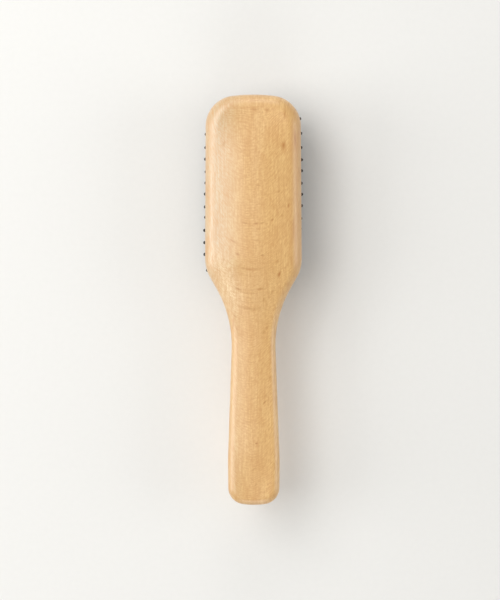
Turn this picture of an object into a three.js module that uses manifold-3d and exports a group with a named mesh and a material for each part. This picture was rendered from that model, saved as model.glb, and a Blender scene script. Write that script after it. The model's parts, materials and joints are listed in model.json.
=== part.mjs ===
// A cushion hair brush: a one-piece beech body, a domed rubber cushion held by its flange in a groove of
// the wood, a backing sheet behind the pin heads, and ball-tipped pins that stand in the cushion.
//
// Millimetres, +Z up. The brush stands level on its pin tips. X is its width and Y its length, with the
// head towards +Y and the handle towards -Y. The origin is on the standing surface, under the middle of
// the brush's box.
import * as THREE from "three";
import { mergeVertices } from "three/addons/utils/BufferGeometryUtils.js";
import Module from "manifold-3d";

const wasm = await Module();
wasm.setup();

// ---- Driving dimensions ----

// Plan of the wooden body, half of it, as arcs: the other half mirrors it.
const HALF_LENGTH = 110;
const HEAD_CROWN_ARC = 95; // radius of the gentle arc across the head's far end
const HEAD_CORNER = { x: 9.25, y: 93.15, r: 16.3 };
const SHOULDER = { x: 5.45, y: 22.1, r: 20.5 }; // where the head starts to narrow
const NECK = { x: 73.8, y: -24.6, r: 62 }; // the hollow of the neck, its centre outside the wood
const PALM = { x: -106.1, y: -88, r: 120 };
const TAIL_CORNER = { x: 4.75, y: -100.67, r: 9 };
const TAIL_ARC = 43; // radius of the gentle arc across the handle's end
const SIDE_DRAFT = 0.3; // degrees: the head is a little wider towards the handle
const SHOULDER_TURN = 30; // degrees the side turns in at the shoulder
const HANDLE_FLARE = 2; // degrees the handle widens towards its end
const PALM_CLOSE = -0.5; // degrees the side has turned back in at the end of the palm

// Heights. The pins' lowest tips are at zero.
const PIN_REACH = 16; // from the cushion's outer face to the tip of the ball
const DOME_RISE = 5; // the cushion's bulge past the rim
const RIM = PIN_REACH + DOME_RISE; // the flat face of the wood around the cushion
const HEAD_THICKNESS = 21.5;
const HANDLE_UNDERSIDE = RIM + 2.6;
const HANDLE_THICKNESS = 13;
const PALM_SWELL = { by: 0.8, from: 45, to: 85 }; // on each side of the handle, between these distances
const BACK_CROWN = 2.2; // the head's back falls this much from its flat middle to where the edge rounds
const HANDLE_CROWN = 0.6;
const BACK_FLAT = 0.3; // share of the half width that is dead flat along the middle of the back
const BACK_FALL_END = 1.9; // share of the half width, past the edge, where the fall would level out again
const FALL_AT_EDGE = 2.27; // slope of that fall at the edge, for a fall and a half width of one
const TILT_ROUNDS = 4;
const CROWN_RUN = 30; // the crown rises over this length from either end

// Rounding of the wood's edges, on the head and on the handle.
const BACK_EDGE = { head: 7.5, handle: 4.2 };
const FACE_EDGE = { head: 2.4, handle: 5.2 };
const NECK_BLEND = { from: -24, to: 30 }; // along Y, where the handle's section becomes the head's

// Pad: the routed pocket and everything in it share this centre.
const PAD_CENTRE_Y = 58;
const PAD_HALF = { x: 21.8, y: 45.2, corner: 12 };
const POCKET_DEPTH = 8.2;
const GROOVE = { low: 1.5, high: 3.7, reach: 1.7 }; // above the rim, and how far it undercuts the wood

// Cushion.
const GAP = 0.3;
const RUBBER = 1.5; // wall of the membrane
const DOME_EDGE = 11; // the bulge rises over this width, and is flat inside it
const DOME_STEPS = [11, 9, 7.2, 5.6, 4.2, 2.9, 1.8, 0.9]; // distances in from the pad's outline
const VENT_RADIUS = 1;

// Pins.
const OUTER_X = 18.6; // the outermost columns, from the middle one
const COLUMNS = 7;
const PITCH = 6.45; // along a column
const LONG_COLUMN = 14; // pins in every second column, starting next to the outermost
const SHORT_COLUMN = 13;
const SIDE_LEAN = 29; // degrees, of the outermost columns
const END_LEAN = 12; // degrees, of the end pins of a short column
const CORNER_PULL = { x: 1.5, y: 1.3 }; // the outermost columns' end pins stand in from the corners
const CORNER_LEAN = { side: 31.5, end: 17 }; // degrees, of those pins, which fan out further
const SHANK = { root: 0.85, neck: 0.6 }; // radii at the cushion and at the ball
const BALL = 0.9; // radius
const FOOT = { width: 2.6, height: 1, past: 0.2, lift: 0.85 }; // the head behind the membrane

// Backing sheet.
const SHEET = { thickness: 0.7, lift: 0.7 };

// Fineness of the curved faces.
const ARC_STEP = 11; // degrees, about, between the points of an outline's arcs
const LONG_STRETCH = 9; // an outline's longest step
const PIN_SIDES = 6;
const VENT_SIDES = 8;
const CUT_PAST = 1; // a cutter passes the face that it opens by this much

// ---- Small helpers ----

const rad = THREE.MathUtils.degToRad;
const smooth = (value, from, to) => THREE.MathUtils.smoothstep(value, from, to);
const mix = THREE.MathUtils.lerp;

// The points of one arc, each with the direction that faces out of the outline. A hollow arc has its
// centre outside the outline.
function arcPoints({ x, y, r }, from, to, hollow = false) {
  const steps = Math.max(1, Math.round(Math.abs(to - from) / ARC_STEP));
  const side = hollow ? -1 : 1;
  return Array.from({ length: steps + 1 }, (_, i) => {
    const angle = rad(mix(from, to, i / steps));
    const out = new THREE.Vector2(Math.cos(angle), Math.sin(angle));
    return {
      at: new THREE.Vector2(x, y).addScaledVector(out, r),
      out: out.multiplyScalar(side),
    };
  });
}

// The same stretch of side, cut into shorter ones where it is long.
function withLongStretchesCut(points, longest) {
  return points.flatMap((point, i) => {
    const next = points[i + 1];
    if (!next) return [point];
    const parts = Math.ceil(point.at.distanceTo(next.at) / longest);
    return Array.from({ length: parts }, (_, k) => ({
      at: point.at.clone().lerp(next.at, k / parts),
      out: point.out.clone().lerp(next.out, k / parts).normalize(),
    }));
  });
}

// A closed manifold solid from triangles given as vectors.
function solidFrom(triangles) {
  const geometry = new THREE.BufferGeometry().setFromPoints(triangles.flat());
  const merged = mergeVertices(geometry, 1e-4);
  const corners = merged.index.array;
  const kept = [];
  for (let i = 0; i < corners.length; i += 3) {
    const [a, b, c] = corners.slice(i, i + 3);
    if (a !== b && b !== c && a !== c) kept.push(a, b, c);
  }
  return new wasm.Manifold(
    new wasm.Mesh({
      numProp: 3,
      vertProperties: merged.attributes.position.array,
      triVerts: new Uint32Array(kept),
    }),
  );
}

// Triangles between neighbouring loops of a stack, each loop closed on itself.
function stackTriangles(loops) {
  return loops.slice(1).flatMap((upper, row) => {
    const lower = loops[row];
    return lower.flatMap((a, i) => {
      const j = (i + 1) % lower.length;
      return [
        [a, lower[j], upper[j]],
        [a, upper[j], upper[i]],
      ];
    });
  });
}

// A fan that closes a loop at its middle, at the loop's own height.
function capTriangles(loop, facingUp) {
  const middle = new THREE.Vector3(0, 0, loop[0].z);
  return loop.map((a, i) => {
    const b = loop[(i + 1) % loop.length];
    return facingUp ? [a, b, middle] : [b, a, middle];
  });
}

function solidOfGeometry(geometry) {
  const plain = geometry.index ? geometry.toNonIndexed() : geometry;
  const at = plain.attributes.position;
  const points = Array.from({ length: at.count }, (_, i) => new THREE.Vector3().fromBufferAttribute(at, i));
  const triangles = Array.from({ length: at.count / 3 }, (_, i) => points.slice(3 * i, 3 * i + 3));
  return solidFrom(triangles);
}

function geometryOf(solid) {
  const { vertProperties, triVerts } = solid.getMesh();
  const geometry = new THREE.BufferGeometry();
  geometry.setAttribute("position", new THREE.BufferAttribute(new Float32Array(vertProperties), 3));
  geometry.setIndex(new THREE.BufferAttribute(new Uint32Array(triVerts), 1));
  return geometry;
}

// ---- Materials ----

const beech = new THREE.MeshStandardMaterial({ color: 0xcfae85, roughness: 0.5, metalness: 0 });
const blackRubber = new THREE.MeshStandardMaterial({ color: 0x17171a, roughness: 0.8, metalness: 0 });
const blackNylon = new THREE.MeshStandardMaterial({ color: 0x0c0c0d, roughness: 0.35, metalness: 0 });
const backingCloth = new THREE.MeshStandardMaterial({ color: 0x3a3835, roughness: 0.95, metalness: 0 });

// ---- Wooden body ----

// The right half of the plan, from the middle of the head's far end round to the middle of the tail.
function woodHalfOutline() {
  const headArcEnd = THREE.MathUtils.radToDeg(
    Math.atan2(HEAD_CORNER.y - (HALF_LENGTH - HEAD_CROWN_ARC), HEAD_CORNER.x),
  );
  const tailArcEnd = THREE.MathUtils.radToDeg(
    Math.atan2(TAIL_CORNER.y - (TAIL_ARC - HALF_LENGTH), TAIL_CORNER.x),
  );
  const headArc = { x: 0, y: HALF_LENGTH - HEAD_CROWN_ARC, r: HEAD_CROWN_ARC };
  const tailArc = { x: 0, y: TAIL_ARC - HALF_LENGTH, r: TAIL_ARC };
  return withLongStretchesCut(
    [
      ...arcPoints(headArc, 90, headArcEnd),
      ...arcPoints(HEAD_CORNER, headArcEnd, -SIDE_DRAFT).slice(1),
      ...arcPoints(SHOULDER, 0, -SHOULDER_TURN),
      ...arcPoints(NECK, 180 - SHOULDER_TURN, 180 + HANDLE_FLARE, true),
      ...arcPoints(PALM, HANDLE_FLARE, PALM_CLOSE),
      ...arcPoints(TAIL_CORNER, PALM_CLOSE, tailArcEnd),
      ...arcPoints(tailArc, tailArcEnd, -90).slice(1),
    ],
    LONG_STRETCH,
  );
}

// What the wood's section measures at one place along its length. The back's middle is middleTop high.
function woodSection(y) {
  const head = smooth(y, NECK_BLEND.from, NECK_BLEND.to);
  const palm = PALM_SWELL.by * smooth(-y, PALM_SWELL.from, PALM_SWELL.to);
  const backEdge = mix(BACK_EDGE.handle, BACK_EDGE.head, head);
  const crown = mix(HANDLE_CROWN, BACK_CROWN, head);
  const rise = crown * smooth(HALF_LENGTH - Math.abs(y), backEdge, backEdge + CROWN_RUN);
  const top = mix(HANDLE_UNDERSIDE + HANDLE_THICKNESS + palm, RIM + HEAD_THICKNESS, head);
  return {
    bottom: mix(HANDLE_UNDERSIDE - palm, RIM, head),
    edgeTop: top - crown,
    middleTop: top - crown + rise,
    backEdge,
    faceEdge: mix(FACE_EDGE.handle, FACE_EDGE.head, head),
  };
}

// How far the back has fallen at a share of the half width: nothing on the flat middle, one at the edge.
function backFall(share) {
  return smooth(Math.abs(share), BACK_FLAT, BACK_FALL_END) / smooth(1, BACK_FLAT, BACK_FALL_END);
}

// The tilt at which the rounded edge ends, so that it runs into the fall of the back without a crease.
function edgeTilt(halfWidth, { edgeTop, middleTop, backEdge }) {
  let tilt = 0;
  for (let round = 0; round < TILT_ROUNDS; round++) {
    const width = Math.max(halfWidth - backEdge * (1 - Math.sin(tilt)), backEdge);
    const fall = middleTop - edgeTop + backEdge * (1 - Math.cos(tilt));
    tilt = Math.atan((fall * FALL_AT_EDGE) / width);
  }
  return tilt;
}

// Half of a closed section through one outline point: from under the edge, up the side and onto the back.
function woodEdge({ at, out }) {
  const section = woodSection(at.y);
  const { bottom, edgeTop, backEdge, faceEdge } = section;
  const place = (inset, z) => new THREE.Vector3(at.x - out.x * inset, at.y - out.y * inset, z);
  const under = [0, 0.5, 1].map((t) => {
    const angle = (t * Math.PI) / 2;
    return place(faceEdge * (1 - Math.sin(angle)), bottom + faceEdge * (1 - Math.cos(angle)));
  });
  const turn = Math.PI / 2 - edgeTilt(at.x, section);
  const over = [0, 0.25, 0.5, 0.75, 1].map((t) => {
    const z = edgeTop - backEdge * (1 - Math.sin(t * turn));
    return place(backEdge * (1 - Math.cos(t * turn)), z);
  });
  return [...under, ...over];
}

function woodLoop(point) {
  const right = woodEdge(point);
  const left = right.map((v) => new THREE.Vector3(-v.x, v.y, v.z)).reverse();
  const rim = right.at(-1);
  const fall = woodSection(point.at.y).middleTop - rim.z;
  const between = (t) => mix(BACK_FLAT, 1, t);
  const across = [between(0.6), between(0.3), BACK_FLAT, -BACK_FLAT, -between(0.3), -between(0.6)].map(
    (share) => new THREE.Vector3(rim.x * share, rim.y, rim.z + fall * (1 - backFall(share))),
  );
  return [...right, ...across, ...left];
}

function woodBlank() {
  return solidFrom(stackTriangles(woodHalfOutline().map(woodLoop)));
}

// ---- Pad outline, shared by the pocket, the cushion and the sheet ----

// A closed loop, inset from the pad's outline, in the pad's own plane at a height.
function padLoop(inset, z) {
  const { x, y, corner } = PAD_HALF;
  const corners = [
    [1, 1, 0],
    [-1, 1, 90],
    [-1, -1, 180],
    [1, -1, 270],
  ];
  return corners.flatMap(([sx, sy, from]) => {
    const arc = { x: sx * (x - corner), y: sy * (y - corner), r: corner - inset };
    return arcPoints(arc, from, from + 90).map(({ at }) => new THREE.Vector3(at.x, at.y, z));
  });
}

// A solid whose wall is a stack of pad loops, closed flat at both ends.
function padStack(profile) {
  const loops = profile.map(([inset, z]) => padLoop(inset, z));
  return solidFrom([
    ...stackTriangles(loops),
    ...capTriangles(loops[0], false),
    ...capTriangles(loops.at(-1), true),
  ]);
}

// The pocket with its undercut groove, open through the rim.
function pocket() {
  const { low, high, reach } = GROOVE;
  return padStack([
    [0, RIM - CUT_PAST],
    [0, RIM + low],
    [-reach, RIM + low],
    [-reach, RIM + high],
    [0, RIM + high],
    [0, RIM + POCKET_DEPTH],
  ]);
}

// ---- Cushion ----

// The middle of the membrane at a distance in from the pad's outline: its height, and its slope.
function membrane(inset) {
  const turn = (Math.PI / 2) * Math.min(Math.max(inset, 0) / DOME_EDGE, 1);
  return {
    z: RIM + RUBBER / 2 - DOME_RISE * Math.sin(turn),
    slope: Math.atan(((DOME_RISE * Math.PI) / 2 / DOME_EDGE) * Math.cos(turn)),
  };
}

// A point of the pad's section at a distance behind the membrane's middle, or in front where negative.
function behindMembrane(inset, distance) {
  const { z, slope } = membrane(inset);
  return [inset + distance * Math.sin(slope), z + distance * Math.cos(slope)];
}

function cushionShell() {
  const half = RUBBER / 2;
  const flange = { low: RIM + GROOVE.low + GAP, high: RIM + GROOVE.high - GAP, reach: GROOVE.reach - GAP };
  const outer = DOME_STEPS.map((inset) => behindMembrane(inset, -half));
  const inner = DOME_STEPS.map((inset) => behindMembrane(inset, half)).reverse();
  const collar = GAP + RUBBER;
  return padStack([
    ...outer,
    [GAP, RIM],
    [GAP, flange.low],
    [-flange.reach, flange.low],
    [-flange.reach, flange.high],
    [collar, flange.high],
    ...inner.filter(([inset]) => inset > collar),
  ]);
}

// ---- Pins ----

// Distance in from the pad's outline, for a point inside it.
function padInset(x, y) {
  const dx = Math.abs(x) - (PAD_HALF.x - PAD_HALF.corner);
  const dy = Math.abs(y) - (PAD_HALF.y - PAD_HALF.corner);
  const past = Math.hypot(Math.max(dx, 0), Math.max(dy, 0));
  return PAD_HALF.corner - past - Math.min(Math.max(dx, dy), 0);
}

// Where one pin passes the middle of the membrane, and the way it points, in the pad's plane.
function pinStance(x, y, isCorner) {
  const side = Math.sign(x);
  const end = Math.sign(y);
  const px = x - (isCorner ? side * CORNER_PULL.x : 0);
  const py = y - (isCorner ? end * CORNER_PULL.y : 0);
  const endReach = ((SHORT_COLUMN - 1) / 2) * PITCH;
  const most = isCorner ? CORNER_LEAN : { side: SIDE_LEAN, end: END_LEAN };
  const sideLean = rad(most.side) * (x / OUTER_X) ** 2 * side;
  const endLean = rad(most.end) * (Math.abs(y) / endReach) ** 6 * end;
  return {
    foot: new THREE.Vector3(px, py, membrane(padInset(px, py)).z),
    way: new THREE.Vector3(Math.tan(sideLean), Math.tan(endLean), -1).normalize(),
  };
}

function pinColumn(index) {
  const isShort = index % 2 === 0;
  const count = isShort ? SHORT_COLUMN : LONG_COLUMN;
  const x = OUTER_X * ((2 * index) / (COLUMNS - 1) - 1);
  const isOutermost = index === 0 || index === COLUMNS - 1;
  return Array.from({ length: count }, (_, i) => {
    const isCorner = isOutermost && (i === 0 || i === count - 1);
    return pinStance(x, (i - (count - 1) / 2) * PITCH, isCorner);
  });
}

// One pin along -Z from inside its head, which is at the origin's height plus the foot's lift.
function pinGeometry() {
  const surface = -RUBBER / 2;
  const tip = surface - PIN_REACH;
  const ball = tip + BALL;
  const ring = BALL * Math.SQRT1_2;
  const profile = [
    [0, tip],
    [ring, ball - ring],
    [BALL, ball],
    [SHANK.neck, ball + ring],
    [SHANK.root, surface],
    [SHANK.root, RUBBER / 2 + FOOT.lift + FOOT.height / 2],
    [0, RUBBER / 2 + FOOT.lift + FOOT.height / 2],
  ];
  const points = profile.map(([r, z]) => new THREE.Vector2(r, z));
  return new THREE.LatheGeometry(points, PIN_SIDES).rotateX(Math.PI / 2);
}

// The frame of a group of pins: the origin between their feet, Y along them and Z up through their heads.
function groupFrame(stances) {
  const middle = new THREE.Vector3();
  const up = new THREE.Vector3();
  stances.forEach(({ foot, way }) => {
    middle.addScaledVector(foot, 1 / stances.length);
    up.sub(way);
  });
  const isPair = stances.length > 1;
  const along = isPair ? stances[1].foot.clone().sub(stances[0].foot) : new THREE.Vector3(0, 1, 0);
  if (!isPair) along.projectOnPlane(up);
  const x = new THREE.Vector3().crossVectors(along, up).normalize();
  const z = new THREE.Vector3().crossVectors(x, along).normalize();
  const y = new THREE.Vector3().crossVectors(z, x);
  return new THREE.Matrix4().makeBasis(x, y, z).setPosition(middle);
}

// Neighbouring pins of a column share one head bar behind the membrane.
function pinGroup(name, stances) {
  const frame = groupFrame(stances);
  const back = frame.clone().invert();
  const local = stances.map(({ foot, way }) => ({
    foot: foot.clone().applyMatrix4(back),
    way: way.clone().transformDirection(back),
  }));
  const reach = Math.max(...local.map(({ foot }) => Math.abs(foot.y)));
  const length = 2 * (reach + FOOT.past + SHANK.root);
  const bar = new THREE.BoxGeometry(FOOT.width, length, FOOT.height);
  bar.translate(0, 0, RUBBER / 2 + FOOT.lift + FOOT.height / 2);
  const solid = local.reduce((sum, { foot, way }) => {
    const turn = new THREE.Quaternion().setFromUnitVectors(new THREE.Vector3(0, 0, -1), way);
    const pin = pinGeometry().applyQuaternion(turn).translate(foot.x, foot.y, foot.z);
    return sum.add(solidOfGeometry(pin));
  }, solidOfGeometry(bar));
  const mesh = new THREE.Mesh(geometryOf(solid), blackNylon);
  mesh.name = name;
  mesh.applyMatrix4(frame);
  return mesh;
}

// A column's pins in pairs from the handle's end, the last one alone where the count is odd.
function pinMeshes() {
  return Array.from({ length: COLUMNS }, (_, column) => {
    const stances = pinColumn(column);
    const groups = Math.ceil(stances.length / 2);
    return Array.from({ length: groups }, (_, k) =>
      pinGroup(`pins_c${column + 1}_${k + 1}`, stances.slice(2 * k, 2 * k + 2)),
    );
  }).flat();
}

// The holes that the pins pass through, a little wider than their roots.
function pinHoles() {
  const holes = Array.from({ length: COLUMNS }, (_, column) => pinColumn(column)).flat();
  const bore = new THREE.CylinderGeometry(SHANK.root + GAP, SHANK.root + GAP, 3 * RUBBER, PIN_SIDES);
  bore.rotateX(Math.PI / 2);
  return holes.map(({ foot, way }) => {
    const turn = new THREE.Quaternion().setFromUnitVectors(new THREE.Vector3(0, 0, -1), way);
    return solidOfGeometry(bore.clone().applyQuaternion(turn).translate(foot.x, foot.y, foot.z));
  });
}

function ventHole() {
  const bore = new THREE.CylinderGeometry(VENT_RADIUS, VENT_RADIUS, 3 * RUBBER, VENT_SIDES);
  bore.rotateX(Math.PI / 2);
  const betweenColumns = OUTER_X / (COLUMNS - 1);
  return solidOfGeometry(bore.translate(betweenColumns, 0, membrane(PAD_HALF.x).z));
}

// ---- Backing sheet ----

function backingSheet() {
  const near = RUBBER / 2 + FOOT.lift + FOOT.height + SHEET.lift;
  const far = near + SHEET.thickness;
  return padStack([
    ...DOME_STEPS.map((inset) => behindMembrane(inset, near)),
    ...DOME_STEPS.map((inset) => behindMembrane(inset, far)).reverse(),
  ]);
}

// ---- Assembly ----

function namedMesh(name, solid, material) {
  const mesh = new THREE.Mesh(geometryOf(solid), material);
  mesh.name = name;
  return mesh;
}

const cushion = [...pinHoles(), ventHole()].reduce((rest, hole) => rest.subtract(hole), cushionShell());
const woodenBody = woodBlank().subtract(pocket().translate(0, PAD_CENTRE_Y, 0));

const pad = new THREE.Group();
pad.position.set(0, PAD_CENTRE_Y, 0);
pad.add(
  namedMesh("cushion", cushion, blackRubber),
  namedMesh("backing_sheet", backingSheet(), backingCloth),
  ...pinMeshes(),
);

const brush = new THREE.Group();
brush.add(namedMesh("wooden_body", woodenBody, beech), pad);

export default brush;
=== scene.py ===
import json
import math
import random

import bpy
import bmesh
import numpy as np
from mathutils import Matrix, Vector


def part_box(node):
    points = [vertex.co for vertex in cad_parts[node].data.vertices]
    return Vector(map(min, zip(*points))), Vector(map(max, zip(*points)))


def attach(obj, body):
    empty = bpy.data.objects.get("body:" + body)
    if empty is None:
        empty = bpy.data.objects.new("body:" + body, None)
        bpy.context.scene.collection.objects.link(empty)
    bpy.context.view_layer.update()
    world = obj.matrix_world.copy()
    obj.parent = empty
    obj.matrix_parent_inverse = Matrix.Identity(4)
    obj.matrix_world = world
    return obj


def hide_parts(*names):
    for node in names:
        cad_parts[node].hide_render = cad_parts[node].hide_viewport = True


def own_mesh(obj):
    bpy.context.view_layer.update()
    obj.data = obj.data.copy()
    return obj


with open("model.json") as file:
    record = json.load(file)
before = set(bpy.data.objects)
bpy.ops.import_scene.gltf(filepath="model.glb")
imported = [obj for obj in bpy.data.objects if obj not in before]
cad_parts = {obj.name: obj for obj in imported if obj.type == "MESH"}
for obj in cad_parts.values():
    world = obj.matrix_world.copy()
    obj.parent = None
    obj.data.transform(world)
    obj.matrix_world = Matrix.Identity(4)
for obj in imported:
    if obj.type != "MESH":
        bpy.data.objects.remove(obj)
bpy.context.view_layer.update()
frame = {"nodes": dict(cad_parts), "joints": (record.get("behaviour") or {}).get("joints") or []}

MM = 0.001

# ---- Sizes, from the frame and, where it can't tell, repeated from the design ----

wood_low, wood_high = (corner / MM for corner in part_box("wooden_body"))
cushion_low, cushion_high = (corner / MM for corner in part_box("cushion"))
sheet_low, sheet_high = (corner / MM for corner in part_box("backing_sheet"))

HALF_LENGTH = wood_high.y
RIM = wood_low.z
HEAD_TOP = wood_high.z

# The plan's arcs, each with its centre and radius, and the degrees at which one passes to the next.
HEAD_CROWN_ARC = 95
HEAD_CORNER = (9.25, 93.15, 16.3)
SHOULDER = (5.45, 22.1, 20.5)
NECK = (73.8, -24.6, 62)
PALM = (-106.1, -88, 120)
TAIL_CORNER = (4.75, -100.67, 9)
TAIL_ARC = 43
SIDE_DRAFT = 0.3
SHOULDER_TURN = 30
HANDLE_FLARE = 2
PALM_CLOSE = -0.5

# The section's heights and rounded edges.
HANDLE_UNDERSIDE = RIM + 2.6
HANDLE_THICKNESS = 13
PALM_SWELL = {"by": 0.8, "from": 45, "to": 85}
BACK_CROWN = 2.2
HANDLE_CROWN = 0.6
CROWN_RUN = 30  # the way over which the crown rises from an end of the brush
BACK_FLAT = 0.12  # share of the half width, from the middle, that stays flat
BACK_FALL_END = 1.9  # where the smooth step that the fall follows would end, as such a share
FALL_AT_EDGE = 1.72  # how steep the fall is where the rounded edge takes over, per fall over width
BACK_EDGE = {"head": 7.5, "handle": 4.2}
FACE_EDGE = {"head": 2.4, "handle": 5.2}
NECK_BLEND = {"from": -24, "to": 30}

# How finely the outline and its sections are drawn.
WOOD_STEP = 0.8  # between the stations of the outline
SECTION_POINTS = {"face_edge": 9, "side": 7, "back_edge": 19, "back": 33}
SOLVE_ROUNDS = 6  # of the loops that close in on a tilt or a foot

# The pad: pocket, cushion and sheet. The cushion's flange reaches past the pad's outline.
GAP = 0.3
GROOVE = {"low": 1.5, "high": 3.7, "reach": 1.7}
FLANGE_REACH = GROOVE["reach"] - GAP
PAD_CENTRE_Y = (cushion_low.y + cushion_high.y) / 2
PAD_HALF_X = cushion_high.x - FLANGE_REACH
PAD_HALF_Y = (cushion_high.y - cushion_low.y) / 2 - FLANGE_REACH
PAD_CORNER = 12
POCKET_DEPTH = 8.2
POCKET_CHAMFER = 0.35
RUBBER = 1.5
DOME_RISE = RIM - cushion_low.z
DOME_EDGE = 11
VENT = {"x": 3.1, "radius": 1.0, "sides": 32}
PUCKER = {"reach": 1.9, "height": 0.45, "sharpness": 1.6}  # the rubber drawn out round a pin

# How finely the pad's pieces are drawn, across and along.
CUSHION_GRID = (110, 236)
SHEET_GRID = (60, 130)
RING_GRID = (60, 150)

# The pins, along their own axis from the middle of the membrane.
PIN_ROOT = 0.85
PIN_NECK = 0.6
BALL = 0.9
BAR_END = PIN_ROOT + 0.2
HEAD_LIFT = 0.85
HEAD_HEIGHT = 1
HEAD_RADIUS = 1.3
HEAD_ROUND = 0.15  # of the head's lower edge, and of the collar that joins it to the shank
HEAD_CHAMFER = (0.3, 0.1)  # of the head's upper edge: in all, and at the point between
PIN_SIDES = 24
BALL_STEPS = 15

PIN_SCATTER = 0.018  # radians, about, of each pin's own lean
SCATTER_SEED = 145
PIN_SKEW = 0.001  # radians of lean to the right, per millimetre from the field's middle to its far end

SHEET = {"lift": 0.7, "thickness": 0.7}


# ---- Helpers for meshes ----

def smooth(value, start, stop):
    """The smooth step from nothing at start to one at stop."""
    t = np.clip((value - start) / (stop - start), 0, 1)
    return t * t * (3 - 2 * t)


def mix(a, b, t):
    """The value a share of the way from a to b."""
    return a + (b - a) * t


def mesh_object(name, points, faces):
    """An object of points in millimetres, with coincident ones merged and its faces turned outwards."""
    mesh = bpy.data.meshes.new(name)
    mesh.from_pydata([tuple(p) for p in np.asarray(points, float) * MM], [], faces)
    work = bmesh.new()
    work.from_mesh(mesh)
    bmesh.ops.remove_doubles(work, verts=work.verts, dist=0.001 * MM)
    bmesh.ops.dissolve_degenerate(work, edges=work.edges, dist=0.001 * MM)
    bmesh.ops.recalc_face_normals(work, faces=work.faces)
    work.to_mesh(mesh)
    work.free()
    made = bpy.data.objects.new(name, mesh)
    bpy.context.scene.collection.objects.link(made)
    return made


def loft_faces(rows, columns, closed=True):
    """Quads between neighbouring rows of a grid of points, each row closed on itself or not."""
    last = columns if closed else columns - 1
    return [
        (
            row * columns + i,
            row * columns + (i + 1) % columns,
            (row + 1) * columns + (i + 1) % columns,
            (row + 1) * columns + i,
        )
        for row in range(rows - 1)
        for i in range(last)
    ]


def band_faces(lower, upper):
    """Quads between two closed loops, each given as the numbers of its points."""
    around = len(lower)
    corners = [
        (lower[i], lower[(i + 1) % around], upper[(i + 1) % around], upper[i])
        for i in range(around)
    ]
    return [tuple(int(corner) for corner in face) for face in corners]


def skin_faces(columns, rows):
    """Quads of two grids of points that follow each other, and how many points each grid has."""
    faces = loft_faces(rows, columns, closed=False)
    count = columns * rows
    return faces + [tuple(i + count for i in face) for face in faces], count


def cut(piece, cutter):
    """Takes the cutter's volume out of the piece, for good, and removes the cutter."""
    modifier = piece.modifiers.new("cut", "BOOLEAN")
    modifier.operation = "DIFFERENCE"
    modifier.solver = "EXACT"
    modifier.object = cutter
    bpy.context.view_layer.update()
    evaluated = piece.evaluated_get(bpy.context.evaluated_depsgraph_get())
    mesh = bpy.data.meshes.new_from_object(evaluated)
    piece.modifiers.clear()
    piece.data = mesh
    bpy.data.objects.remove(cutter)


def shade(piece, sharp_angle=32):
    """Smooth shading, with the edges that turn by more than an angle in degrees left sharp."""
    piece.data.shade_smooth()
    piece.data.set_sharp_from_angle(angle=math.radians(sharp_angle))


# ---- Wooden body ----

def arc_stations(arc, start, stop, hollow=False):
    """Points of an arc between two angles in degrees, each with the direction out of the wood."""
    x, y, radius = arc
    steps = max(2, round(abs(math.radians(stop - start)) * radius / WOOD_STEP))
    angles = np.radians(np.linspace(start, stop, steps + 1))
    out = np.stack([np.cos(angles), np.sin(angles)], 1)
    at = np.array([x, y]) + radius * out
    return np.hstack([at, -out if hollow else out])


def wood_stations():
    """The right half of the plan, from the middle of the head's end round to the middle of the tail."""
    head_arc = (0, HALF_LENGTH - HEAD_CROWN_ARC, HEAD_CROWN_ARC)
    tail_arc = (0, TAIL_ARC - HALF_LENGTH, TAIL_ARC)
    head_end = math.degrees(math.atan2(HEAD_CORNER[1] - head_arc[1], HEAD_CORNER[0]))
    tail_end = math.degrees(math.atan2(TAIL_CORNER[1] - tail_arc[1], TAIL_CORNER[0]))
    rough = np.vstack([
        arc_stations(head_arc, 90, head_end),
        arc_stations(HEAD_CORNER, head_end, -SIDE_DRAFT)[1:],
        arc_stations(SHOULDER, 0, -SHOULDER_TURN),
        arc_stations(NECK, 180 - SHOULDER_TURN, 180 + HANDLE_FLARE, hollow=True),
        arc_stations(PALM, HANDLE_FLARE, PALM_CLOSE),
        arc_stations(TAIL_CORNER, PALM_CLOSE, tail_end),
        arc_stations(tail_arc, tail_end, -90)[1:],
    ])
    run = np.concatenate([[0], np.cumsum(np.linalg.norm(np.diff(rough[:, :2], axis=0), axis=1))])
    even = np.linspace(0, run[-1], round(run[-1] / WOOD_STEP) + 1)
    stations = np.stack([np.interp(even, run, rough[:, k]) for k in range(4)], 1)
    stations[:, 2:] /= np.linalg.norm(stations[:, 2:], axis=1, keepdims=True)
    return stations


def wood_section(y):
    """What the wood's section measures at a place along its length."""
    head = smooth(y, NECK_BLEND["from"], NECK_BLEND["to"])
    palm = PALM_SWELL["by"] * smooth(-y, PALM_SWELL["from"], PALM_SWELL["to"])
    back_edge = mix(BACK_EDGE["handle"], BACK_EDGE["head"], head)
    crown = mix(HANDLE_CROWN, BACK_CROWN, head)
    top = mix(HANDLE_UNDERSIDE + HANDLE_THICKNESS + palm, HEAD_TOP, head)
    return {
        "bottom": mix(HANDLE_UNDERSIDE - palm, RIM, head),
        "edge_top": top - crown,
        "middle_top": top - crown + crown * smooth(HALF_LENGTH - abs(y), back_edge, back_edge + CROWN_RUN),
        "back_edge": back_edge,
        "face_edge": mix(FACE_EDGE["handle"], FACE_EDGE["head"], head),
    }


def back_fall(share):
    """How far the back has fallen at a share of the half width, from nothing to one at the edge."""
    return smooth(abs(share), BACK_FLAT, BACK_FALL_END) / smooth(1, BACK_FLAT, BACK_FALL_END)


def edge_tilt(half_width, section):
    """The tilt at which the rounded edge ends, so that it runs into the fall of the back."""
    back_edge = section["back_edge"]
    tilt = 0
    for _ in range(SOLVE_ROUNDS):
        width = max(half_width - back_edge * (1 - math.sin(tilt)), back_edge)
        fall = section["middle_top"] - section["edge_top"] + back_edge * (1 - math.cos(tilt))
        tilt = math.atan(fall * FALL_AT_EDGE / width)
    return tilt


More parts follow.
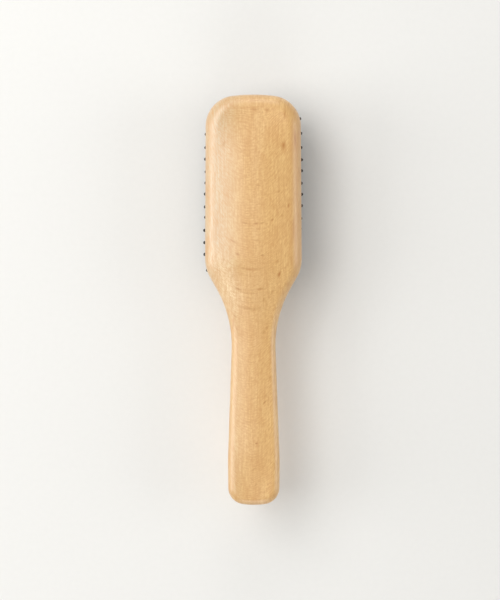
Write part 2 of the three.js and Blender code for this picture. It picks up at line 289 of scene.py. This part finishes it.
def wood_loop(station):
    """One closed section: from under the right edge, over the back to under the left edge."""
    x, y, out_x, out_y = station
    section = wood_section(y)
    back_edge, face_edge = section["back_edge"], section["face_edge"]
    under = np.radians(np.linspace(0, 90, SECTION_POINTS["face_edge"]))
    over = np.linspace(0, math.pi / 2 - edge_tilt(x, section), SECTION_POINTS["back_edge"])
    shoulder = section["edge_top"] - back_edge
    side = np.linspace(section["bottom"] + face_edge, shoulder, SECTION_POINTS["side"])[1:-1]
    inset = np.concatenate([
        face_edge * (1 - np.sin(under)),
        np.zeros(len(side)),
        back_edge * (1 - np.cos(over)),
    ])
    height = np.concatenate([
        section["bottom"] + face_edge * (1 - np.cos(under)),
        side,
        shoulder + back_edge * np.sin(over),
    ])
    right = np.stack([x - out_x * inset, y - out_y * inset, height], 1)
    rim = right[-1]
    fall = section["middle_top"] - rim[2]
    across = [
        (rim[0] * share, rim[1], rim[2] + fall * (1 - back_fall(share)))
        for share in np.linspace(1, -1, SECTION_POINTS["back"])[1:-1]
    ]
    left = (right * [-1, 1, 1])[::-1]
    return np.vstack([right, across, left])


def pad_grid(inset, columns, rows):
    """A grid of points that fills the pad's outline drawn in by an inset, in the pad's own plane."""
    half_x, half_y, corner = PAD_HALF_X - inset, PAD_HALF_Y - inset, PAD_CORNER - inset
    y = half_y * np.linspace(-1, 1, rows)
    past = np.clip(abs(y) - (half_y - corner), 0, corner)
    width = half_x - corner + np.sqrt(corner**2 - past**2)
    x = width[:, None] * np.linspace(-1, 1, columns)[None]
    return x, np.repeat(y[:, None], columns, 1)


def ring_of(grid):
    """The points round the edge of a grid, once round."""
    return np.concatenate([grid[0, :-1], grid[:-1, -1], grid[-1, :0:-1], grid[:0:-1, 0]])


def pad_ring(inset, z, columns=RING_GRID[0], rows=RING_GRID[1]):
    """The pad's outline drawn in by an inset, as one closed loop of points at a height."""
    x, y = pad_grid(inset, columns, rows)
    ring_x, ring_y = ring_of(x), ring_of(y)
    return np.stack([ring_x, ring_y + PAD_CENTRE_Y, np.full(len(ring_x), z)], 1)


def pocket_cutter():
    """The routed pocket: a small chamfer at the rim, straight walls, and the flange's groove."""
    below = 1  # how far the cutter starts under the wood
    profile = [
        (-POCKET_CHAMFER - below, RIM - below),
        (0, RIM + POCKET_CHAMFER),
        (0, RIM + GROOVE["low"]),
        (-GROOVE["reach"], RIM + GROOVE["low"]),
        (-GROOVE["reach"], RIM + GROOVE["high"]),
        (0, RIM + GROOVE["high"]),
        (0, RIM + POCKET_DEPTH),
    ]
    rings = [pad_ring(inset, z) for inset, z in profile]
    around = len(rings[0])
    faces = loft_faces(len(rings), around)
    faces.append(tuple(range(around)))
    faces.append(tuple(range((len(rings) - 1) * around, len(rings) * around)))
    return mesh_object("pocket_cutter", np.vstack(rings), faces)


def wooden_body():
    """Head, neck and handle in one, with the pad's pocket cut out from below."""
    loops = [wood_loop(station) for station in wood_stations()]
    piece = mesh_object("beech_body", np.vstack(loops), loft_faces(len(loops), len(loops[0])))
    cut(piece, pocket_cutter())
    shade(piece)
    return piece


# ---- Cushion and backing sheet ----

def pad_inset(x, y):
    """How far points lie in from the pad's outline."""
    dx = abs(x) - (PAD_HALF_X - PAD_CORNER)
    dy = abs(y) - (PAD_HALF_Y - PAD_CORNER)
    past = np.hypot(np.maximum(dx, 0), np.maximum(dy, 0))
    return PAD_CORNER - past - np.minimum(np.maximum(dx, dy), 0)


def membrane(inset):
    """Height and slope of the middle of the membrane."""
    turn = math.pi / 2 * np.clip(inset / DOME_EDGE, 0, 1)
    height = RIM + RUBBER / 2 - DOME_RISE * np.sin(turn)
    return height, np.arctan(DOME_RISE * math.pi / 2 / DOME_EDGE * np.cos(turn))


def behind_membrane(inset, distance):
    """Height of the surface at a distance behind the membrane's middle, or in front where negative."""
    foot = inset
    for _ in range(SOLVE_ROUNDS):
        foot = inset - distance * np.sin(membrane(foot)[1])
    height, slope = membrane(foot)
    return height + distance * np.cos(slope)


def puckers(x, y, feet):
    """How far the rubber is drawn out in a small cone round each pin."""
    drawn = np.zeros_like(x)
    for foot in feet:
        away = np.hypot(x - foot.x, y - (foot.y - PAD_CENTRE_Y))
        near = np.clip(1 - away / PUCKER["reach"], 0, 1)
        drawn = np.maximum(drawn, PUCKER["height"] * near ** PUCKER["sharpness"])
    return drawn


def cushion(feet):
    """The rubber moulding: domed membrane, collar, and the flange that sits in the pocket's groove."""
    columns, rows = CUSHION_GRID
    collar = GAP + RUBBER
    low, high = RIM + GROOVE["low"] + GAP, RIM + GROOVE["high"] - GAP
    x, y = pad_grid(GAP, columns, rows)
    front = behind_membrane(pad_inset(x, y), -RUBBER / 2) - puckers(x, y, feet)
    slack = 0.01
    front[pad_inset(x, y) <= GAP + slack] = RIM
    inner_x, inner_y = pad_grid(collar, columns, rows)
    back = behind_membrane(pad_inset(inner_x, inner_y), RUBBER / 2)

    def skin(grid_x, grid_y, z):
        return np.stack([grid_x.ravel(), grid_y.ravel() + PAD_CENTRE_Y, z.ravel()], 1)

    walls = [(GAP, low), (-FLANGE_REACH, low), (-FLANGE_REACH, high), (collar, high)]
    rings = [pad_ring(inset, z, columns, rows) for inset, z in walls]
    around = len(rings[0])
    points = np.vstack([skin(x, y, front), skin(inner_x, inner_y, back), *rings])
    faces, count = skin_faces(columns, rows)
    edge = ring_of(np.arange(count).reshape(rows, columns))
    loops = [edge]
    loops += [2 * count + k * around + np.arange(around) for k in range(len(rings))]
    loops.append(edge + count)
    for lower, upper in zip(loops, loops[1:]):
        faces += band_faces(lower, upper)
    piece = mesh_object("rubber_cushion", points, faces)
    cut(piece, vent_cutter())
    shade(piece, sharp_angle=40)
    return piece


def vent_cutter():
    """The bore of the hole that lets the cushion breathe."""
    sides = VENT["sides"]
    angles = np.linspace(0, 2 * math.pi, sides, endpoint=False)
    x = VENT["x"] + VENT["radius"] * np.cos(angles)
    y = PAD_CENTRE_Y + VENT["radius"] * np.sin(angles)
    middle = RIM - DOME_RISE
    points = [(a, b, middle + z) for z in (-2 * RUBBER, 3 * RUBBER) for a, b in zip(x, y)]
    faces = loft_faces(2, sides) + [tuple(range(sides)), tuple(range(sides, 2 * sides))]
    return mesh_object("vent_cutter", points, faces)


def backing_sheet():
    """The cloth behind the pins' heads, which follows the dome."""
    columns, rows = SHEET_GRID
    near = RUBBER / 2 + HEAD_LIFT + HEAD_HEIGHT + SHEET["lift"]
    far = near + SHEET["thickness"]
    inset = PAD_HALF_X - sheet_high.x
    x, y = pad_grid(inset, columns, rows)
    faces, count = skin_faces(columns, rows)
    edge = ring_of(np.arange(count).reshape(rows, columns))
    faces += band_faces(edge, edge + count)
    layers = [
        np.stack([x.ravel(), y.ravel() + PAD_CENTRE_Y,
                  behind_membrane(pad_inset(x, y), distance).ravel()], 1)
        for distance in (near, far)
    ]
    piece = mesh_object("backing_cloth", np.vstack(layers), faces)
    shade(piece, sharp_angle=50)
    return piece


# ---- Pins ----

def pin_mesh(length):
    """One pin along -Z from the middle of the membrane: its flat head, tapered shank and ball tip."""
    ball_middle = BALL - length
    waist = 0.92  # where the ball meets the shank, as a share of the neck's radius
    join = math.acos(PIN_NECK * waist / BALL)
    ball = [
        (BALL * math.cos(a), ball_middle + BALL * math.sin(a))
        for a in np.linspace(-math.pi / 2, join, BALL_STEPS)
    ]
    root_z = -RUBBER / 2
    neck_z = ball[-1][1] + 0.5
    shank = [
        (PIN_NECK, neck_z),
        (mix(PIN_NECK, PIN_ROOT, 0.5), mix(neck_z, root_z, 0.5)),
        (PIN_ROOT * 0.98, root_z - 0.3),
        (PIN_ROOT, root_z),
        (PIN_ROOT, RUBBER / 2 + HEAD_LIFT - HEAD_ROUND),
    ]
    head_low = RUBBER / 2 + HEAD_LIFT
    head_high = head_low + HEAD_HEIGHT
    chamfer, between = HEAD_CHAMFER
    head = [
        (PIN_ROOT + HEAD_ROUND, head_low),
        (HEAD_RADIUS - HEAD_ROUND, head_low),
        (HEAD_RADIUS, head_low + HEAD_ROUND),
        (HEAD_RADIUS, head_high - chamfer),
        (HEAD_RADIUS - between, head_high - between),
        (HEAD_RADIUS - chamfer, head_high),
        (0, head_high),
    ]
    profile = ball + shank + head
    angles = np.linspace(0, 2 * math.pi, PIN_SIDES, endpoint=False)
    points = [(r * math.cos(a), r * math.sin(a), z) for r, z in profile for a in angles]
    made = mesh_object("pin", points, loft_faces(len(profile), PIN_SIDES))
    shade(made, sharp_angle=50)
    mesh = made.data
    bpy.data.objects.remove(made)
    return mesh


def pin_places(joint):
    """The foot and the tip of each pin of a hinged group, in millimetres."""
    body = joint["child"]
    points = np.array([v.co for v in frame["nodes"][body].data.vertices]) / MM
    pivot = np.array(joint["pos_m"]) / MM
    axis = np.array(joint["axis"], float)
    along = (points - pivot) @ axis
    bar = along[points[:, 2] > pivot[2] + RUBBER / 4]
    is_pair = bar.max() - bar.min() > 4 * BAR_END
    reach = bar.max() - BAR_END if is_pair else 0
    places = []
    for side in ((-1, 1) if is_pair else (1,)):
        foot = pivot + side * reach * axis
        own = points[side * along > 0] if is_pair else points
        tip = own[np.argmax(np.linalg.norm(own - foot, axis=1))]
        places.append((Vector(foot), Vector(tip)))
    return places


def pins():
    """Every pin, a little out of line by hand assembly, riding with its group."""
    scatter = random.Random(SCATTER_SEED)
    groups = [(j, pin_places(j)) for j in frame["joints"] if j["type"] == "hinge"]
    feet = [foot.y for _, places in groups for foot, _ in places]
    middle = (min(feet) + max(feet)) / 2
    length = (groups[0][1][0][1] - groups[0][1][0][0]).length
    mesh = pin_mesh(length)
    made = []
    for joint, places in groups:
        for k, (foot, tip) in enumerate(places):
            way = (tip - foot).normalized()
            lean = Vector((scatter.gauss(0, 1), scatter.gauss(0, 1), scatter.gauss(0, 1)))
            skew = Vector((PIN_SKEW * (foot.y - middle), 0, 0))
            way = (way + PIN_SCATTER * lean + skew).normalized()
            name = joint["child"].replace("pins", "pin") + "_" + "ab"[k]
            pin = bpy.data.objects.new(name, mesh)
            bpy.context.scene.collection.objects.link(pin)
            turn = way.to_track_quat("-Z", "Y").to_matrix().to_4x4()
            pin.matrix_world = Matrix.Translation(foot * MM) @ turn
            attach(pin, joint["child"])
            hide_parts(joint["child"])
            made.append(pin)
    return made


# ---- Helpers for materials ----

def new_material(name):
    """A material, its nodes and its shader."""
    material = bpy.data.materials.new(name)
    material.use_nodes = True
    return material, material.node_tree, material.node_tree.nodes["Principled BSDF"]


def add(tree, kind, inputs=None, **settings):
    """A node of a kind, with its settings, and its inputs as values or as sockets to join."""
    node = tree.nodes.new(kind)
    for name, value in settings.items():
        setattr(node, name, value)
    for name, value in (inputs or {}).items():
        if isinstance(value, bpy.types.NodeSocket):
            tree.links.new(value, node.inputs[name])
        else:
            node.inputs[name].default_value = value
    return node


def maths(tree, operation, *values, clamp=False):
    node = add(tree, "ShaderNodeMath", dict(enumerate(values)), operation=operation, use_clamp=clamp)
    return node.outputs[0]


def vector_maths(tree, operation, *values):
    node = add(tree, "ShaderNodeVectorMath", dict(enumerate(values)), operation=operation)
    return node.outputs["Value" if operation == "LENGTH" else "Vector"]


def noise(tree, at, stretch, detail=2, output="Fac"):
    """Noise at a place whose grains are of the given size along each direction, in millimetres."""
    scaled = vector_maths(tree, "DIVIDE", at, stretch)
    node = add(tree, "ShaderNodeTexNoise", {"Vector": scaled, "Scale": 1, "Detail": detail})
    return node.outputs[output]


def ramp(tree, value, *stops):
    """A value, or a grey, between stops of (place, value or colour)."""
    node = add(tree, "ShaderNodeValToRGB", {"Fac": value})
    ladder = node.color_ramp
    while len(ladder.elements) < len(stops):
        ladder.elements.new(0.5)
    for element, (place, level) in zip(ladder.elements, stops):
        element.position = place
        element.color = (level, level, level, 1) if isinstance(level, (int, float)) else (*level, 1)
    return node.outputs["Color"]


def tinted(tree, colour, tint, strength):
    """The colour moved towards a tint by a strength."""
    node = add(tree, "ShaderNodeMix", data_type="RGBA")
    for socket, value in zip((node.inputs[0], node.inputs[6], node.inputs[7]), (strength, colour, tint)):
        if isinstance(value, bpy.types.NodeSocket):
            tree.links.new(value, socket)
        else:
            socket.default_value = value if isinstance(value, float) else (*value, 1)
    return node.outputs[2]


def millimetres(tree):
    """Where a point of the piece is, in millimetres in the piece's own frame."""
    coordinates = add(tree, "ShaderNodeTexCoord")
    return vector_maths(tree, "MULTIPLY", coordinates.outputs["Object"], (1 / MM,) * 3)


def bump(tree, shader, height, distance_mm):
    node = add(tree, "ShaderNodeBump", {"Height": height, "Distance": distance_mm * MM})
    tree.links.new(node.outputs["Normal"], shader.inputs["Normal"])


# ---- Materials ----

# The board is cut from the side of a log whose heart lies above the brush's back and tilts along it.
HEART = {"x": -1.5, "z": 108, "tilt": 0.3}
RAY_DISTANCE = 66  # from the heart to the back, about
WANDER = {"size": (26, 70, 26), "by": (5, 0, 4)}  # how the rings stray: size of a stray, and its range

# The rings reach the back as arcs that open towards the head.
ARC_BEND = 0.024  # rise of an arc, per millimetre squared from its middle

# Darker pieces of those arcs: middle across, lowest place along, half length, half width and strength.
ARCS = [
    (-4.6, 40.3, 1.3, 0.35, 0.6),
    (1.5, 40.5, 0.9, 0.4, 0.85),
    (4.5, 40.3, 1.2, 0.35, 0.6),
    (3.0, 37.4, 4.5, 0.3, 0.15),
    (-10.8, 28.4, 1.6, 0.4, 0.6),
    (1.7, 31.4, 1.6, 0.35, 0.4),
    (-2.5, 16.1, 4.6, 0.5, 0.42),
    (0.8, 16.1, 1.4, 0.5, 0.5),
    (-2.5, 12.5, 4.0, 0.3, 0.22),
    (-8.3, 4.2, 1.3, 0.4, 0.75),
    (-0.8, 5.2, 2.6, 0.4, 0.25),
    (3.7, 5.4, 1.3, 0.45, 0.7),
    (-3.6, 3.3, 4.6, 0.35, 0.28),
    (-2.5, 0.9, 2.6, 0.35, 0.25),
    (-2.0, -1.7, 4.4, 0.35, 0.2),
    (-1.9, -4.9, 4.8, 0.65, 0.45),
]

# The board's own colour, at three levels of a broad noise.
BEECH_SHADES = [(0.3, (0.715, 0.430, 0.136)), (0.5, (0.76, 0.473, 0.162)), (0.7, (0.78, 0.498, 0.19))]
# The colour of the painted sheen.
PAINTED_SHEEN = (0.94, 0.73, 0.42)
DARK_GRAIN = (0.56, 0.25, 0.045)
DARK_MARK = (0.46, 0.17, 0.002)
# Light and shade painted into the wood's colour across the board: from and to this far across, the tint
# and its strength. Towards the left a less red tint, then a creamier one, paint in a sheen; a lighter tint
# paints light on the right half; a darker one paints shade on the right edge that damps its reflection.
PAINTED_SIDE_LIGHT = [
    (-2.0, -12.0, (0.60, 0.44, 0.155), 0.28),
    (-5.0, -21.0, (0.53, 0.49, 0.38), 0.52),
    (2.0, 10.0, (0.83, 0.525, 0.18), 0.75),
    (17.0, 23.0, (0.60, 0.32, 0.06), 0.55),
]

# The grain's layers: the size of a grain round, along and out of the rings, the noise's detail, where
# it starts to darken the wood and where it is done, and how much it darkens it by then.
GRAIN = {
    "fibres": ((0.62, 24, 5), 3, 0.36, 0.7, 0.5),
    "flecks": ((1.4, 12, 0.22), 2, 0.4, 0.68, 0.6),
    "pores": ((0.55, 2.4, 1.2), 1, 0.5, 0.78, 0.5),
}
GRAIN_DEPTH = 0.012  # the height, in millimetres, that the grain stands out by

# Ripples cross the rings here and there: their pitch and strength, and the zones they are clearest in,
# given as the dark marks are.
RIPPLE_PITCH = 0.4
RIPPLE_STRENGTH = 0.34
RIPPLE_ZONES = [
    (-1.0, -23.0, 8.0, 6.0, 90, 1.0),
    (-5.0, -52.0, 14.0, 3.5, 90, 0.8),
    (0.0, 20.0, 14.0, 8.0, 90, 0.6),
]
# Painted highlight: pale patches of painted sheen on the left shoulder and, faint, across the neck, given
# as the dark marks are.
PAINTED_SHEEN_PATCHES = [(-14.5, 10.0, 12.0, 4.6, 112, 0.8), (0.0, 4.0, 12.0, 9.0, 90, 0.12)]

# Each mark is a cone, MARK_PEAK times its strength in the middle, and gone where the distance is
# MARK_PEAK times MARK_SPREAD times its half length or half width.
MARK_SPREAD = 1.5
MARK_PEAK = 1.25
ANY_HEIGHT = 1e6  # so large a size upwards that a mark is the same at every height
# Darker marks: place across and along, half length, half width, slant in degrees and strength.
MARKS = [
    (0.8, 101.4, 1.3, 0.5, 0, 0.6),
    (7.6, 101.0, 1.1, 0.55, 5, 0.65),
    (16.8, 98.3, 1.7, 0.45, 85, 0.7),
    (16.1, 82.2, 1.7, 0.8, 80, 0.85),
    (-15.7, 83.0, 1.2, 0.5, 80, 0.45),
    (2.6, 60.8, 1.0, 0.3, -12, 0.6),
    (18.7, 50.1, 1.0, 0.4, 88, 0.8),
    (10.0, 42.5, 0.7, 0.45, 40, 0.8),
    (-8.5, 24.3, 0.9, 0.55, -30, 0.75),
    (4.7, 23.6, 0.7, 0.4, 10, 0.7),
    (13.7, 13.6, 1.3, 0.5, 68, 1.0),
    (15.2, 45.0, 0.8, 0.4, 80, 0.45),
    (13.3, 57.4, 0.8, 0.4, 30, 0.4),
    (12.5, 20.2, 1.0, 0.45, 50, 0.5),
    (19.9, 21.3, 2.2, 0.35, 95, 0.35),
    (17.0, 8.2, 1.0, 0.45, 80, 0.4),
    (9.8, 4.1, 1.1, 0.4, 65, 0.4),
    (5.5, -0.1, 0.9, 0.45, 70, 0.5),
    (-11.4, 12.7, 0.9, 0.4, 80, 0.35),
    (-15.8, 21.2, 1.5, 0.3, 75, 0.3),
    (-21.8, 22.4, 1.8, 0.3, 85, 0.3),
    (21.4, 38.5, 4.8, 0.3, 90, 0.4),
    (22.3, 85.5, 3.6, 0.45, 92, 0.9),
    (-10.0, -8.6, 1.0, 0.3, -45, 0.5),
    (-10.8, -13.0, 3.2, 0.3, 78, 0.35),
    (-9.2, -15.5, 2.6, 0.3, -70, 0.35),
    (7.0, -15.0, 0.9, 0.5, 60, 0.5),
    (5.4, -17.4, 0.9, 0.5, 60, 0.5),
    (8.9, -41.3, 0.9, 0.4, 70, 0.5),
    (5.7, -54.9, 1.0, 0.35, 50, 0.8),
    (6.6, -51.2, 0.8, 0.4, 70, 0.5),
    (1.4, -76.8, 0.55, 0.35, 0, 1.0),
    (0.0, -90.5, 0.9, 0.35, 35, 0.4),
    (1.0, -98.9, 0.7, 0.3, 45, 0.5),
]


def board_place(tree, at):
    """A place as the log sees it: round its heart, along the brush, and out across the rings."""
    wander = noise(tree, at, WANDER["size"], detail=2, output="Color")
    wander = vector_maths(tree, "SUBTRACT", wander, (0.5, 0.5, 0.5))
    wander = vector_maths(tree, "MULTIPLY", wander, WANDER["by"])
    moved = vector_maths(tree, "ADD", at, wander)
    parts = add(tree, "ShaderNodeSeparateXYZ", {0: moved})
    across = maths(tree, "SUBTRACT", parts.outputs["X"], HEART["x"])
    above = maths(tree, "SUBTRACT", HEART["z"], parts.outputs["Z"])
    away = maths(tree, "SQRT", maths(tree, "ADD", maths(tree, "POWER", across, 2.0),
                                     maths(tree, "POWER", above, 2.0)))
    tilt = maths(tree, "MULTIPLY", parts.outputs["Y"], HEART["tilt"])
    ring = maths(tree, "SUBTRACT", away, tilt)
    round_it = maths(tree, "MULTIPLY", maths(tree, "ARCTAN2", across, above), float(RAY_DISTANCE))
    place = add(tree, "ShaderNodeCombineXYZ", {"X": round_it, "Y": parts.outputs["Y"], "Z": ring})
    return place.outputs[0], ring


def marks(tree, at, places):
    """How strongly a point lies in any of a list of soft-edged spots, seen from above."""
    total = 0.0
    for x, y, half_length, half_width, slant, strength in places:
        own_place = add(tree, "ShaderNodeMapping", {
            "Vector": at,
            "Location": (x, y, 0),
            "Rotation": (0, 0, math.radians(slant)),
            "Scale": (half_length * MARK_SPREAD, half_width * MARK_SPREAD, ANY_HEIGHT),
        }, vector_type="TEXTURE")
        away = vector_maths(tree, "LENGTH", own_place.outputs[0])
        spot = maths(tree, "MULTIPLY_ADD", away, -strength, strength * MARK_PEAK, clamp=True)
        total = maths(tree, "MAXIMUM", spot, total)
    return total


def back_marks(tree, at):
    """The darker pieces of the rings' arcs and the separate marks, on the back only."""
    parts = add(tree, "ShaderNodeSeparateXYZ", {0: at})
    bend = maths(tree, "MULTIPLY", maths(tree, "POWER", parts.outputs["X"], 2.0), ARC_BEND)
    straight = add(tree, "ShaderNodeCombineXYZ", {
        "X": parts.outputs["X"], "Y": maths(tree, "SUBTRACT", parts.outputs["Y"], bend)})
    arcs = marks(tree, straight.outputs[0], [(*arc[:4], 0, arc[4]) for arc in ARCS])
    total = maths(tree, "MAXIMUM", marks(tree, at, MARKS), arcs)
    on_back = maths(tree, "GREATER_THAN", parts.outputs["Z"], (RIM + HEAD_TOP) / 2)
    return maths(tree, "MULTIPLY", total, on_back)


def beech():
    """Pale steamed beech under a satin clear coat, with sheen and shade partly painted into its colour."""
    material, tree, shader = new_material("satin_beech")
    at = millimetres(tree)
    place, ring = board_place(tree, at)
    colour = ramp(tree, noise(tree, place, (6, 60, 9), detail=2), *BEECH_SHADES)
    side = add(tree, "ShaderNodeSeparateXYZ", {0: at}).outputs["X"]
    # Painted light and shade across the board: a creamy painted sheen towards the left, a lighter right
    # half, painted shade on the right edge.
    for start, end, tint, strength in PAINTED_SIDE_LIGHT:
        share = add(tree, "ShaderNodeMapRange", {"Value": side, "From Min": start, "From Max": end},
                    interpolation_type="SMOOTHSTEP")
        colour = tinted(tree, colour, tint, maths(tree, "MULTIPLY", share.outputs[0], strength))
    # Painted highlight: pale patches of sheen on the left shoulder and across the neck.
    colour = tinted(tree, colour, PAINTED_SHEEN, marks(tree, at, PAINTED_SHEEN_PATCHES))
    grain = {}
    for name, (size, detail, start, end, strength) in GRAIN.items():
        grain[name] = noise(tree, place, size, detail=detail)
        darkened = ramp(tree, grain[name], (start, 0), (end, strength))
        colour = tinted(tree, colour, DARK_GRAIN, darkened)
    ripple_wave = maths(tree, "SINE", maths(tree, "MULTIPLY", ring, 2 * math.pi / RIPPLE_PITCH))
    ripple_patch = ramp(tree, noise(tree, place, (6, 12, 9), detail=1), (0.42, 0), (0.62, 1))
    ripple_patch = maths(tree, "MAXIMUM", ripple_patch, marks(tree, at, RIPPLE_ZONES))
    ripples = maths(tree, "MULTIPLY", ripple_patch, maths(tree, "MULTIPLY_ADD", ripple_wave, 0.5, 0.5))
    colour = tinted(tree, colour, DARK_GRAIN, maths(tree, "MULTIPLY", ripples, RIPPLE_STRENGTH))
    colour = tinted(tree, colour, DARK_MARK, back_marks(tree, at))
    tree.links.new(colour, shader.inputs["Base Color"])
    satin = ramp(tree, grain["fibres"], (0.3, 0.46), (0.7, 0.58))
    tree.links.new(satin, shader.inputs["Roughness"])
    shader.inputs["IOR"].default_value = 1.6
    shader.inputs["Coat Weight"].default_value = 1.0
    shader.inputs["Coat IOR"].default_value = 1.85
    shader.inputs["Coat Roughness"].default_value = 0.42
    bump(tree, shader, maths(tree, "SUBTRACT", grain["flecks"], grain["fibres"]), GRAIN_DEPTH)
    return material


def black_rubber():
    """Matt moulded rubber with a fine grain and a little bloom."""
    material, tree, shader = new_material("black_rubber")
    at = millimetres(tree)
    bloom = noise(tree, at, (7, 9, 7), detail=3)
    colour = ramp(tree, bloom, (0.35, (0.012, 0.012, 0.013)), (0.7, (0.024, 0.024, 0.025)))
    tree.links.new(colour, shader.inputs["Base Color"])
    grain = noise(tree, at, (0.22, 0.22, 0.22), detail=3)
    tree.links.new(ramp(tree, bloom, (0.3, 0.62), (0.7, 0.8)), shader.inputs["Roughness"])
    bump(tree, shader, grain, 0.03)
    return material


def black_nylon():
    """Glossy injection-moulded nylon with faint flow marks along each pin."""
    material, tree, shader = new_material("black_nylon")
    at = millimetres(tree)
    flow = noise(tree, at, (0.5, 0.5, 6), detail=2)
    colour = ramp(tree, flow, (0.35, (0.006, 0.006, 0.007)), (0.7, (0.013, 0.013, 0.014)))
    tree.links.new(colour, shader.inputs["Base Color"])
    tree.links.new(ramp(tree, flow, (0.3, 0.24), (0.7, 0.36)), shader.inputs["Roughness"])
    bump(tree, shader, noise(tree, at, (0.3, 0.3, 2), detail=2), 0.01)
    return material


def grey_cloth():
    """Plain-woven backing cloth."""
    material, tree, shader = new_material("backing_cloth")
    at = millimetres(tree)
    parts = add(tree, "ShaderNodeSeparateXYZ", {0: at})
    pitch = 0.7  # of the weave
    waves = [
        maths(tree, "SINE", maths(tree, "MULTIPLY", parts.outputs[axis], 2 * math.pi / pitch))
        for axis in ("X", "Y")
    ]
    weave = maths(tree, "MULTIPLY_ADD", maths(tree, "MULTIPLY", *waves), 0.5, 0.5)
    fuzz = noise(tree, at, (0.3, 0.3, 0.3), detail=3)
    height = maths(tree, "ADD", weave, maths(tree, "MULTIPLY", fuzz, 0.6))
    colour = ramp(tree, height, (0.2, (0.020, 0.019, 0.017)), (1.0, (0.075, 0.070, 0.062)))
    tree.links.new(colour, shader.inputs["Base Color"])
    shader.inputs["Roughness"].default_value = 0.95
    bump(tree, shader, height, 0.15)
    return material


def pale_floor():
    """Matt off-white, with a trace of unevenness."""
    material, tree, shader = new_material("pale_floor")
    at = millimetres(tree)
    grain = noise(tree, at, (3, 3, 3), detail=4)
    colour = ramp(tree, grain, (0.3, (0.79, 0.783, 0.758)), (0.7, (0.80, 0.793, 0.768)))
    tree.links.new(colour, shader.inputs["Base Color"])
    shader.inputs["Roughness"].default_value = 0.9
    shader.inputs["Specular IOR Level"].default_value = 0.1
    return material


# ---- Stage: floor, light and camera ----

FLOOR_HALF = 6000
# The soft lights, all square: degrees off the vertical and round from +X, and radiance.
SOFT_LIGHTS = [(25, 180, 2.5), (45, 135, 3.5), (65, 180, 4), (65, 90, 2), (65, 0, 2.4), (65, 270, 2.2)]
LIGHT_DISTANCE = 1.5
LIGHT_SIZE = 0.825
SKY = {"colour": (1.0, 0.992, 0.97), "strength": 0.34}
CAMERA_HEIGHT = 1.03
FOCUS_HEIGHT = 0.03
VIEW_LENGTH = 0.3227  # of the picture's long side, at the focus height
CAMERA_OFFSET = (-0.0019, -0.00012)
CAMERA_ROLL = -0.1


def floor():
    """A plate so wide that its edges are never seen."""
    h = FLOOR_HALF
    piece = mesh_object("floor", [(-h, -h, 0), (h, -h, 0), (h, h, 0), (-h, h, 0)], [(0, 1, 2, 3)])
    piece.data.materials.append(pale_floor())


def lights():
    """Soft lights high on the left, and low ones all round that soften the shadow."""
    for k, (off_vertical, towards, radiance) in enumerate(SOFT_LIGHTS):
        off, towards = math.radians(off_vertical), math.radians(towards)
        level = math.sin(off)
        way = Vector((level * math.cos(towards), level * math.sin(towards), math.cos(off)))
        data = bpy.data.lights.new("soft_light_%d" % k, "AREA")
        data.shape = "SQUARE"
        data.size = LIGHT_SIZE
        data.energy = math.pi * radiance * LIGHT_SIZE**2
        light = bpy.data.objects.new(data.name, data)
        light.location = way * LIGHT_DISTANCE
        light.rotation_mode = "QUATERNION"
        light.rotation_quaternion = way.to_track_quat("Z", "Y")
        light.visible_camera = False
        bpy.context.scene.collection.objects.link(light)


def sky():
    """A dim, even and faintly warm light from all round."""
    world = bpy.data.worlds.new("studio")
    world.use_nodes = True
    background = world.node_tree.nodes["Background"]
    background.inputs["Color"].default_value = (*SKY["colour"], 1)
    background.inputs["Strength"].default_value = SKY["strength"]
    bpy.context.scene.world = world


def camera():
    """Straight down on the brush's back, a touch off its middle and a touch turned."""
    data = bpy.data.cameras.new("camera")
    data.sensor_width = 36
    data.lens = data.sensor_width * (CAMERA_HEIGHT - FOCUS_HEIGHT) / VIEW_LENGTH
    made = bpy.data.objects.new("camera", data)
    made.location = (*CAMERA_OFFSET, CAMERA_HEIGHT)
    made.rotation_euler = (0, 0, math.radians(CAMERA_ROLL))
    bpy.context.scene.collection.objects.link(made)
    bpy.context.scene.camera = made


# ---- Assembly ----

def finish_piece(piece, material, body, slot, *nodes):
    """Gives a piece its material and the body it rides, and hides the nodes it stands for. The slot is not
    used.
    """
    piece.data.materials.append(material)
    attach(piece, body)
    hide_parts(*nodes)


camera()
lights()
sky()
floor()
bpy.context.scene.view_settings.view_transform = "Standard"

body_piece = wooden_body()
finish_piece(body_piece, beech(), "brush_body", "wood", "wooden_body")

pin_pieces = pins()
pin_pieces[0].data.materials.append(black_nylon())

cushion_piece = cushion([pin.matrix_world.translation / MM for pin in pin_pieces])
finish_piece(cushion_piece, black_rubber(), "brush_body", "rubber", "cushion")
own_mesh(cushion_piece)

cloth_piece = backing_sheet()
finish_piece(cloth_piece, grey_cloth(), "cushion_back", "backing_cloth", "backing_sheet")
